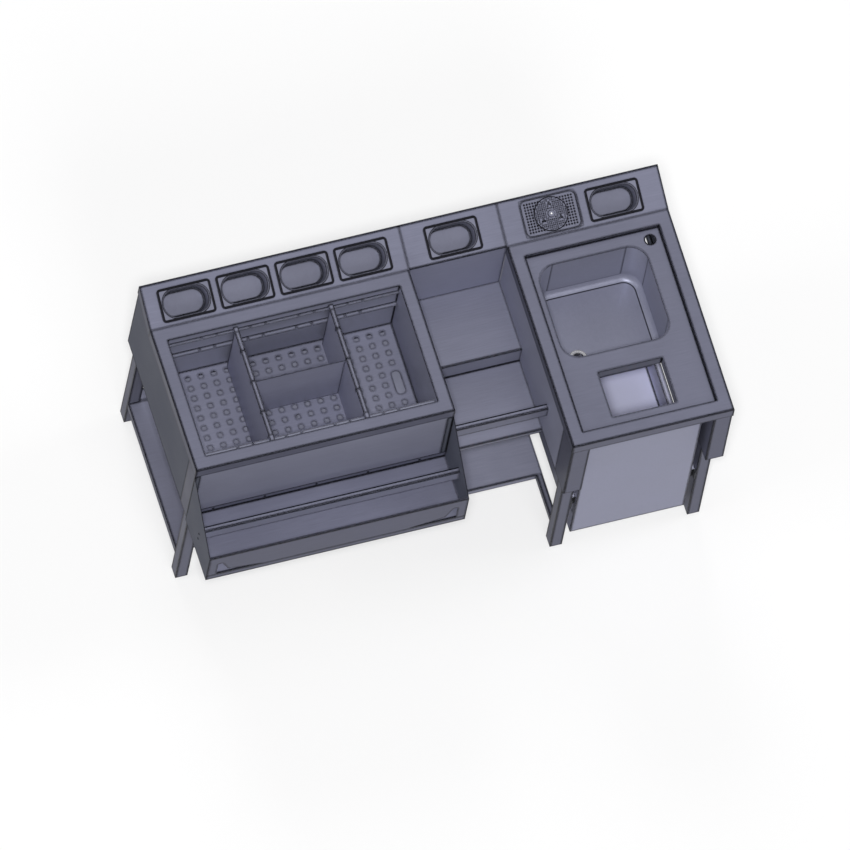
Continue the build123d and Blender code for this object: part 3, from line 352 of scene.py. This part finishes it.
def spread(tree, socket, low, high, toLow, toHigh):
    # a straight line from low..high to toLow..toHigh
    node = addNode(tree, "ShaderNodeMapRange")
    ends = (("From Min", low), ("From Max", high), ("To Min", toLow), ("To Max", toHigh))
    for key, value in ends:
        node.inputs[key].default_value = value
    tree.links.new(socket, node.inputs["Value"])
    return node.outputs[0]


def swung(tree, noise, centre, less, more):
    # centre - less to centre + more over the middle of a noise
    return spread(tree, noise.outputs["Fac"], *noiseMiddle, centre - less, centre + more)


def scaled(tree, vector, factor):
    # vector times a single factor
    node = addNode(tree, "ShaderNodeVectorMath", operation="SCALE")
    tree.links.new(vector, node.inputs[0])
    tree.links.new(factor, node.inputs["Scale"])
    return node.outputs[0]


def along(tree, socket, axis):
    # the part of a vector that lies along an axis
    node = addNode(tree, "ShaderNodeVectorMath", operation="DOT_PRODUCT")
    node.inputs[1].default_value = tuple(axis)
    tree.links.new(socket, node.inputs[0])
    return node.outputs["Value"]


def toneRamp(tree, noise, tone, swing):
    # tone*(1 - swing) to tone*(1 + swing) over the middle of a noise
    ramp = addNode(tree, "ShaderNodeValToRGB")
    first, last = ramp.color_ramp.elements
    first.position, last.position = noiseMiddle
    first.color = (*(np.array(tone) * (1 - swing)), 1)
    last.color = (*np.minimum(np.array(tone) * (1 + swing), 1), 1)
    tree.links.new(noise.outputs["Fac"], ramp.inputs["Fac"])
    return ramp.outputs["Color"]


def shadeRamp(tree, socket, stops):
    # a grey ramp through the stops, each a place and a shade
    ramp = addNode(tree, "ShaderNodeValToRGB")
    band = ramp.color_ramp.elements
    while len(band) < len(stops):
        band.new(0.5)
    for stop, (place, shade) in zip(band, stops):
        stop.position, stop.color = place, (shade, shade, shade, 1)
    tree.links.new(socket, ramp.inputs["Fac"])
    return ramp.outputs["Color"]


def edgeLine(tree, s):
    # the normal rounded over a small radius is compared with the face's own: where they part, near
    # a fold or a cut edge, the multiplier falls from 1 to 1 - edge
    bevel = addNode(tree, "ShaderNodeBevel", samples=lineSet["samples"], Radius=s["edgeWidth"])
    face = addNode(tree, "ShaderNodeNewGeometry")
    match = addNode(tree, "ShaderNodeVectorMath", operation="DOT_PRODUCT")
    tree.links.new(bevel.outputs["Normal"], match.inputs[0])
    tree.links.new(face.outputs["Normal"], match.inputs[1])
    return spread(tree, match.outputs["Value"], lineSet["dark"], lineSet["clear"], 1.0 - s["edge"], 1.0)


def cornerLines(tree, normal, stops):
    # the larger of |x| and |y| of the normal: 1 on a straight wall, less round a corner or down to
    # the floor, with a thin dark band where the wall starts to turn
    size = addNode(tree, "ShaderNodeVectorMath", operation="ABSOLUTE")
    tree.links.new(normal, size.inputs[0])
    split = addNode(tree, "ShaderNodeSeparateXYZ")
    tree.links.new(size.outputs[0], split.inputs[0])
    most = addNode(tree, "ShaderNodeMath", operation="MAXIMUM")
    tree.links.new(split.outputs["X"], most.inputs[0])
    tree.links.new(split.outputs["Y"], most.inputs[1])
    return shadeRamp(tree, most.outputs[0], stops)


brushSet = {
    "grain": dict(Scale=1.0, Detail=3.0, Roughness=0.6), "grainSwing": 0.11, "grainRough": 0.05,
    "streak": dict(Scale=0.09, Detail=2.0, Roughness=0.5), "streakSwing": 0.017,
    "smudge": dict(Scale=4.5, Detail=3.0, Roughness=0.55), "smudgeSwing": 0.035, "smudgeRough": 0.06,
    "endFace": 0.7, "endRange": (0.4, 0.95),  # |x| of the normal: end faces, and where ends sets in
    "bump": 0.10, "lift": 0.0002,
    "gloss": 0.08, "glossTint": (0.40, 0.40, 0.45, 1),      # a low view of a sheet stays grey
}


def brushedMetal(name, s, brush):
    # brushing = noise drawn out along one axis, chosen by which way the face looks; long streaks,
    # wiped smudges, a dark line at folds and cut edges and the finish's own factors, most of them
    # painted light and shade, multiply the tone, and the brushing also lifts roughness and bump
    paint = bpy.data.materials.new(name)
    paint.use_nodes = True
    tree = paint.node_tree
    link = tree.links.new
    shader = tree.nodes["Principled BSDF"]
    place = addNode(tree, "ShaderNodeTexCoord").outputs["Object"]
    normal = addNode(tree, "ShaderNodeNewGeometry").outputs["Normal"]
    flat = addNode(tree, "ShaderNodeMapping", Scale=s["flat"])
    side = addNode(tree, "ShaderNodeMapping", Scale=s["side"])
    link(place, flat.inputs["Vector"])
    link(place, side.inputs["Vector"])
    split = addNode(tree, "ShaderNodeSeparateXYZ")
    link(normal, split.inputs[0])
    size = addNode(tree, "ShaderNodeMath", operation="ABSOLUTE")
    link(split.outputs["X"], size.inputs[0])
    sideways = addNode(tree, "ShaderNodeMath", operation="GREATER_THAN")
    sideways.inputs[1].default_value = brush["endFace"]
    link(size.outputs[0], sideways.inputs[0])
    choose = addNode(tree, "ShaderNodeMix", data_type="VECTOR")
    link(sideways.outputs[0], choose.inputs[0])
    link(flat.outputs[0], choose.inputs[4])
    link(side.outputs[0], choose.inputs[5])
    grain, streak, smudge = (addNode(tree, "ShaderNodeTexNoise", **brush[key])
                             for key in ("grain", "streak", "smudge"))
    link(choose.outputs[1], grain.inputs["Vector"])
    link(choose.outputs[1], streak.inputs["Vector"])
    link(place, smudge.inputs["Vector"])
    factors = [
        swung(tree, streak, 1.0, brush["streakSwing"], brush["streakSwing"]),
        swung(tree, smudge, 1.0, brush["smudgeSwing"], brush["smudgeSwing"]),
        edgeLine(tree, s),
    ]
    # painted light and shade: ends, step and facing scale the tone on end faces, along an axis and by
    # the way a face looks
    if "ends" in s:
        factors.append(spread(tree, size.outputs[0], *brush["endRange"], 1.0, s["ends"]))
    if "step" in s:
        step = s["step"]
        height = along(tree, place, step["axis"])
        factors.append(spread(tree, height, *(step[key] for key in ("low", "high", "atLow", "atHigh"))))
    if "facing" in s:
        look = along(tree, normal, s["facing"]["axis"])
        factors.append(shadeRamp(tree, look, s["facing"]["stops"]))
    if "corners" in s:
        factors.append(cornerLines(tree, normal, s["corners"]))
    colour = toneRamp(tree, grain, s["tone"], brush["grainSwing"])
    for factor in factors:
        colour = scaled(tree, colour, factor)
    link(colour, shader.inputs["Base Color"])
    dull = addNode(tree, "ShaderNodeMath", operation="ADD")
    link(swung(tree, smudge, s["rough"], brush["smudgeRough"], brush["smudgeRough"]), dull.inputs[0])
    link(swung(tree, grain, 0.0, brush["grainRough"], brush["grainRough"]), dull.inputs[1])
    link(dull.outputs[0], shader.inputs["Roughness"])
    bump = addNode(tree, "ShaderNodeBump", Strength=brush["bump"], Distance=brush["lift"])
    link(grain.outputs["Fac"], bump.inputs["Height"])
    link(bump.outputs["Normal"], shader.inputs["Normal"])
    shader.inputs["Metallic"].default_value = s["metal"]
    shader.inputs["Specular IOR Level"].default_value = brush["gloss"]
    shader.inputs["Specular Tint"].default_value = brush["glossTint"]
    return paint


finishes = {name: brushedMetal(name, s, brushSet) for name, s in steelSet.items()}

coatSet = {
    "drawerCoat": dict(tone=(0.382, 0.390, 0.512), speck=520, swing=0.05, rough=0.52,
                       bump=0.16, lift=0.0003, edge=0.97, edgeWidth=0.0095),
    # painted light: the drawer box is the drawer's coat about 1.5 times lighter, down where the lamps
    # reach less
    "drawerInsideLit": dict(tone=(0.572, 0.580, 0.752), speck=520, swing=0.05, rough=0.58,
                        bump=0.16, lift=0.0003, edge=0.94, edgeWidth=0.0095),
    "foamBlock": dict(tone=(0.62, 0.52, 0.30), speck=90, swing=0.20, rough=0.95,
                      bump=0.5, lift=0.0006, edge=0.30, edgeWidth=0.0030),
    "footBlack": dict(tone=(0.018, 0.018, 0.020), speck=400, swing=0.20, rough=0.6,
                      bump=0.15, lift=0.0004, edge=0.30, edgeWidth=0.0020),
}
cloudSet = {
    "speckDetail": 4.0, "cloud": dict(Scale=6.0, Detail=3.0), "cloudSwing": 0.03,
    "roughLess": 0.06, "roughMore": 0.05, "gloss": 0.10,
}


def coatedSurface(name, s, skin):
    # fine noise gives the speckle and the skin of a coat, foam or moulding; slow noise clouds the
    # tone and the gloss
    paint = bpy.data.materials.new(name)
    paint.use_nodes = True
    tree = paint.node_tree
    link = tree.links.new
    shader = tree.nodes["Principled BSDF"]
    place = addNode(tree, "ShaderNodeTexCoord").outputs["Object"]
    speck = addNode(tree, "ShaderNodeTexNoise", Scale=s["speck"], Detail=skin["speckDetail"])
    cloud = addNode(tree, "ShaderNodeTexNoise", **skin["cloud"])
    link(place, speck.inputs["Vector"])
    link(place, cloud.inputs["Vector"])
    colour = toneRamp(tree, speck, s["tone"], s["swing"])
    colour = scaled(tree, colour, swung(tree, cloud, 1.0, skin["cloudSwing"], skin["cloudSwing"]))
    colour = scaled(tree, colour, edgeLine(tree, s))
    link(colour, shader.inputs["Base Color"])
    dull = swung(tree, cloud, s["rough"], skin["roughLess"], skin["roughMore"])
    link(dull, shader.inputs["Roughness"])
    bump = addNode(tree, "ShaderNodeBump", Strength=s["bump"], Distance=s["lift"])
    link(speck.outputs["Fac"], bump.inputs["Height"])
    link(bump.outputs["Normal"], shader.inputs["Normal"])
    shader.inputs["Specular IOR Level"].default_value = skin["gloss"]
    return paint


finishes.update({name: coatedSurface(name, s, cloudSet) for name, s in coatSet.items()})
slotFinish = {
    "top_steel": "topSteel", "well_steel": "wellSteelLit", "insert_steel": "insertSteelLit",
    "frame_steel": "frameSteel", "rail_steel": "railSteel", "rinser_steel": "rinserSteel",
    "drawer_steel": "drawerCoat", "runner_zinc": "runnerZinc", "drain_chrome": "drainChrome",
    "valve_brass": "valveBrass", "foam": "foamBlock", "foot_black": "footBlack",
}
nodeFinish = {                                # where a node's finish isn't that of its slot; most are lighter or darker copies of one steel, painted light and shade
    "stepped_shelf": "innerSteelLit", "waste_chute": "innerSteelLit", "bay_undershelf": "shelfSteelLit",
    "ice_undershelf": "baseSteelLit", "bay_ledge": "wallSteelLitBelow",
    "sink_apron_left": "apronSteelLit", "ice_front_apron": "apronSteelLit",
    "ice_apron_left": "sideSteelShaded", "ice_apron_right": "sideSteelShaded", "sink_apron_right": "sideSteelShaded",
    "speed_rail_side_left": "sideSteelShaded", "speed_rail_side_right": "sideSteelShaded",
    "speed_rail_tray": "traySteelLit", "speed_rail_bar": "speedBarSteelLit", "bay_bar": "bayBarSteelLit",
    "ice_tank": "tankSteelLit", "false_floor": "floorSteelLit", "sink_bowl": "bowlSteelLit",
    "drawer_box": "drawerInsideLit", "rinser_tray": "rinserWellShaded",
    **{f"garnish_pan_{number}": "panSteel" for number in range(1, 7)},
}
for entry in frame["record"]["subparts"]:
    finish = nodeFinish.get(entry["node"], slotFinish[entry["material_slot"]])
    materials = nodes[entry["node"]].data.materials
    materials.clear()
    materials.append(finishes[finish])


def finishPiece(piece, finish, body):
    # finish, and the body that carries the piece
    piece.data.materials.append(finishes[finish])
    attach(piece, body)


def fullTurn(steps):
    # angles round a circle, the last one step short of the first
    return np.linspace(0, 2 * math.pi, steps, endpoint=False)


def halfRound(part, s):
    # a low half round: out = wide/2 * cos, up = high * sin above the sheet and sink * sin below it
    return s["wide"] / 2 * np.cos(part), np.where(np.sin(part) > 0, s["high"], s["sink"]) * np.sin(part)


def spokes(angle, first, second):
    # first * cos + second * sin, one row for each angle
    return np.cos(angle)[:, None] * first + np.sin(angle)[:, None] * second


def copyQuads(quads, copies, size):
    # the same quads once for each copy of a shape with size points
    return (quads + np.arange(copies)[:, None, None] * size).reshape(-1, 4)


beadSet = {
    "length": 0.176, "width": 0.108, "corner": 0.012, "inset": 0.0042,
    "wide": 0.0082, "high": 0.0012, "sink": 0.0002, "rimTop": 0.0015, "upSlope": 0.066,
    "alongStation": (-0.714, -0.521, -0.328, -0.135, 0.160, 0.688),
    "cornerSteps": 12, "roundSteps": 16,
}


def rimBead(name, x, s):
    # a half round carried round a rounded rectangle: corner centre + (corner radius + out) * outward
    quarter = np.linspace(0, math.pi / 2, s["cornerSteps"])
    angle = (np.arange(4)[:, None] * math.pi / 2 + quarter).ravel()
    signs = np.repeat(np.array([(1, 1), (-1, 1), (-1, -1), (1, -1)]), s["cornerSteps"], axis=0)
    centre = signs * (np.array((s["length"], s["width"])) / 2 - s["corner"])
    out, height = halfRound(fullTurn(s["roundSteps"]), s)
    reach = s["corner"] - s["inset"] + out
    outward = np.stack([np.cos(angle), np.sin(angle)], -1)
    flat = centre[:, None] + reach[None, :, None] * outward[:, None]
    points = (ledgePoint(x, s["upSlope"], s["rimTop"]) + flat[..., :1] * alongLedge
              + flat[..., 1:] * upLedge + height[None, :, None] * outLedge)
    return quadMesh(name, points.reshape(-1, 3), gridQuads(len(angle), s["roundSteps"], True, True))


for number, x in enumerate(beadSet["alongStation"], 1):
    finishPiece(rimBead(f"panBead{number}", x, beadSet), "beadShade", f"pan_{number}")
print("rolled beads on", len(beadSet["alongStation"]), "pan rims")

discSet = {"alongStation": 0.482, "upSlope": 0.069, "hubTop": 0.0095, "face": 0.0040}
hubPlace, discPlace = (ledgePoint(discSet["alongStation"], discSet["upSlope"], discSet[level])
                       for level in ("hubTop", "face"))
nozzleSet = {
    "steps": 40,
    "radius": (0, 0.0006, 0.0010, 0.0016, 0.0022, 0.0026,
               0.0029, 0.0036, 0.0041, 0.0044, 0.0044, 0),
    "height": (0.0030, 0.0030, 0.0042, 0.0046, 0.0043, 0.0034,
               0.0024, 0.0018, 0.0013, 0.0006, -0.0002, -0.0002),
}


def turnedNozzle(name, s):
    # a section of radius and height turned about the disc's axis, closed at both poles
    radius, height = np.array(s["radius"]), np.array(s["height"])
    spoke = spokes(fullTurn(s["steps"]), alongLedge, upLedge)
    points = hubPlace + radius[None, :, None] * spoke[:, None] + height[None, :, None] * outLedge
    return quadMesh(name, points.reshape(-1, 3), gridQuads(s["steps"], len(radius), True, False))


finishPiece(turnedNozzle("rinserNozzle", nozzleSet), "nozzleBright", "rinser_button")

jetSet = {"groupRadius": 0.0325, "jetRadius": 0.0042, "threes": np.radians((90, 210, 330))}


def jetCentres(s):
    # three groups on a circle, and three jets on a small circle about each: place = group + jet,
    # on the disc's face
    spoke = spokes(s["threes"], alongLedge, upLedge)
    places = s["groupRadius"] * spoke[:, None] + s["jetRadius"] * spoke[None]
    return discPlace + places.reshape(-1, 3)


onDisc = dict(axes=(alongLedge, upLedge, outLedge), body="rinser_button", slot="rinser_steel")
ringSet = {
    "jetRings": dict(onDisc, centres=jetCentres(jetSet),
                     radius=0.0030, wide=0.0013, high=0.0008, sink=0.0002),
    "discRing": dict(onDisc, centres=discPlace[None],
                     radius=0.0532, wide=0.0032, high=0.0010, sink=0.0002),
    "tapRing": dict(axes=np.eye(3), body="station", slot="top_steel",
                    centres=np.array([(0.766, 0.207, 0.838)]),
                    radius=0.0178, wide=0.0034, high=0.0008, sink=0.0002),
}
ringSteps = {"around": 72, "across": 14}


def flatRings(name, s, around, across):
    # a half round carried along circles of one radius about the centres
    first, second, up = s["axes"]
    out, height = halfRound(fullTurn(across), s)
    spoke = spokes(fullTurn(around), first, second)
    ring = (s["radius"] + out)[None, :, None] * spoke[:, None] + height[None, :, None] * up
    points = s["centres"][:, None, None] + ring
    quads = copyQuads(gridQuads(around, across, True, True), len(points), around * across)
    return quadMesh(name, points.reshape(-1, 3), quads)


for name, s in ringSet.items():
    finishPiece(flatRings(name, s, **ringSteps), "beadShade", s["body"])
print("nozzle and rings on the rinser disc and the tap hole")

screwSet = {
    "radius": 0.0045, "high": 0.0014, "sink": 0.0001, "rings": 12, "steps": 40,
    "dome": 0.75, "domePower": 4,             # share of the height that falls away to the rim
    "slotHalf": 0.0006, "slotReach": 0.62, "slotDepth": 0.0009, "slotPower": 6, "reachPower": 12,
    "flangeAlong": (-0.763, -0.594, -0.425, -0.256, -0.087), "flangeHeight": 0.534, "sheet": 0.0015,
    "plateAt": ((-0.317, 0.613), (-0.317, 0.579)),
}


def screwHeads(name, places, out, s):
    # with r from 0 to 1, dome height = high * (1 - dome * r^domePower), less a cross: slotDepth
    # where either axis is within slotHalf and r is within slotReach, with edges as soft as the
    # powers; a skirt and a flat bottom close each head
    angle = fullTurn(s["steps"])
    r, a = np.meshgrid(np.linspace(0, 1, s["rings"]), angle, indexing="ij")
    near = np.minimum(np.abs(np.cos(a)), np.abs(np.sin(a))) * r * s["radius"]
    slot = 1 / (1 + (near / s["slotHalf"]) ** s["slotPower"])
    cross = slot / (1 + (r / s["slotReach"]) ** s["reachPower"])
    height = s["high"] * (1 - s["dome"] * r ** s["domePower"]) - s["slotDepth"] * cross
    r = np.concatenate([r, r[-1:], r[:1]])
    height = np.concatenate([height, np.full((2, len(angle)), -s["sink"])])
    out = np.array(out, float)
    first = np.cross(out, rise)
    second = np.cross(out, first)
    head = (r[..., None] * s["radius"] * spokes(angle, first, second)
            + height[..., None] * out)
    points = np.asarray(places)[:, None, None] + head
    quads = copyQuads(gridQuads(len(r), len(angle), False, True), len(places), r.size)
    return quadMesh(name, points.reshape(-1, 3), quads)


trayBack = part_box("speed_rail_tray")[1][1] - screwSet["sheet"]
trayPlaces = [(x, trayBack, screwSet["flangeHeight"]) for x in screwSet["flangeAlong"]]
trayScrews = screwHeads("trayScrews", trayPlaces, forward, screwSet)
finishPiece(trayScrews, "railSteel", "station")
for side, corner, out in (("Left", 0, -1), ("Right", 1, 1)):
    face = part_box(f"speed_rail_side_{side.lower()}")[corner][0]
    places = [(face, y, z) for y, z in screwSet["plateAt"]]
    plateScrews = screwHeads(f"plateScrews{side}", places, (out, 0, 0), screwSet)
    finishPiece(plateScrews, "railSteel", "station")
print("screws on the speed rail")
